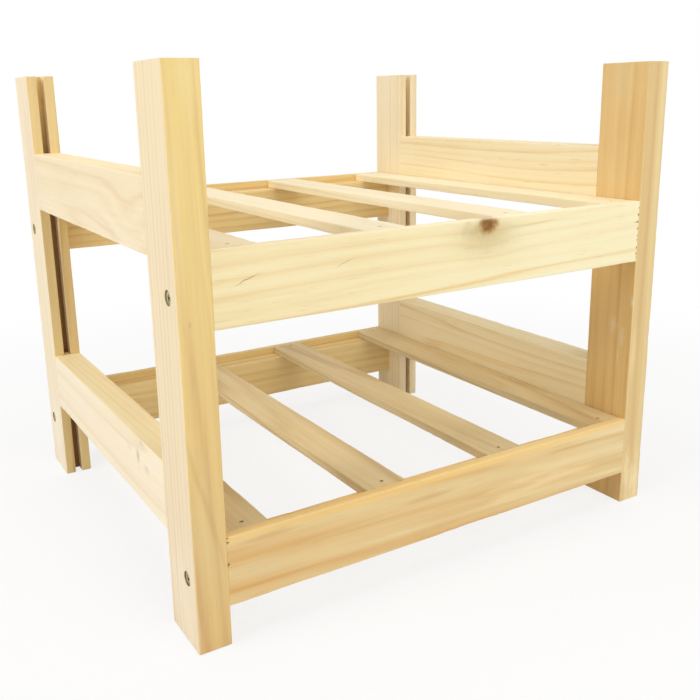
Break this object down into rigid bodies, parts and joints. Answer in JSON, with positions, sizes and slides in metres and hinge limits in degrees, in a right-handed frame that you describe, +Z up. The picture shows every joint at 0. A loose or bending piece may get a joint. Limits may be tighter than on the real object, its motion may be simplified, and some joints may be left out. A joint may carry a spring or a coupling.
{
  "type": "stackable wine rack",
  "caption": "Low slatted pine rack with corner posts and side rails that holds wine bottles lying down; another rack can stand on its post tops.",
  "frame": {"origin": "on the floor under the middle of the rack", "axes": "+X to the right seen from the front, +Y from the front to the back, +Z up"},
  "size_m": [0.3, 0.272, 0.267],
  "materials": {
    "pine_post": "planed, unfinished pine",
    "pine_side_rail": "planed, unfinished pine",
    "pine_cross_rail": "planed, unfinished pine with a few knots",
    "pine_slat": "planed, unfinished pine",
    "screw_steel": "dull zinc-plated steel",
    "nail_steel": "bare steel wire nail, darkened"
  },
  "bodies": {
    "root": {"post_front_left": "pine_post", "post_front_right": "pine_post", "post_rear_left": "pine_post", "post_rear_right": "pine_post", "side_rail_lower_left": "pine_side_rail", "side_rail_lower_right": "pine_side_rail", "side_rail_upper_left": "pine_side_rail", "side_rail_upper_right": "pine_side_rail", "front_rail_lower": "pine_cross_rail", "front_rail_upper": "pine_cross_rail", "rear_rail_lower": "pine_cross_rail", "rear_rail_upper": "pine_cross_rail", "slat_lower_1": "pine_slat", "slat_lower_2": "pine_slat", "slat_lower_3": "pine_slat", "slat_lower_4": "pine_slat", "slat_upper_1": "pine_slat", "slat_upper_2": "pine_slat", "slat_upper_3": "pine_slat", "slat_upper_4": "pine_slat", "screw_lower_front_left": "screw_steel", "screw_lower_front_right": "screw_steel", "screw_lower_rear_left": "screw_steel", "screw_lower_rear_right": "screw_steel", "screw_upper_front_left": "screw_steel", "screw_upper_front_right": "screw_steel", "screw_upper_rear_left": "screw_steel", "screw_upper_rear_right": "screw_steel", "nail_lower_1_front": "nail_steel", "nail_lower_1_rear": "nail_steel", "nail_lower_2_front": "nail_steel", "nail_lower_2_rear": "nail_steel", "nail_lower_3_front": "nail_steel", "nail_lower_3_rear": "nail_steel", "nail_lower_4_front": "nail_steel", "nail_lower_4_rear": "nail_steel", "nail_upper_1_front": "nail_steel", "nail_upper_1_rear": "nail_steel", "nail_upper_2_front": "nail_steel", "nail_upper_2_rear": "nail_steel", "nail_upper_3_front": "nail_steel", "nail_upper_3_rear": "nail_steel", "nail_upper_4_front": "nail_steel", "nail_upper_4_rear": "nail_steel"}
  },
  "joints": []
}
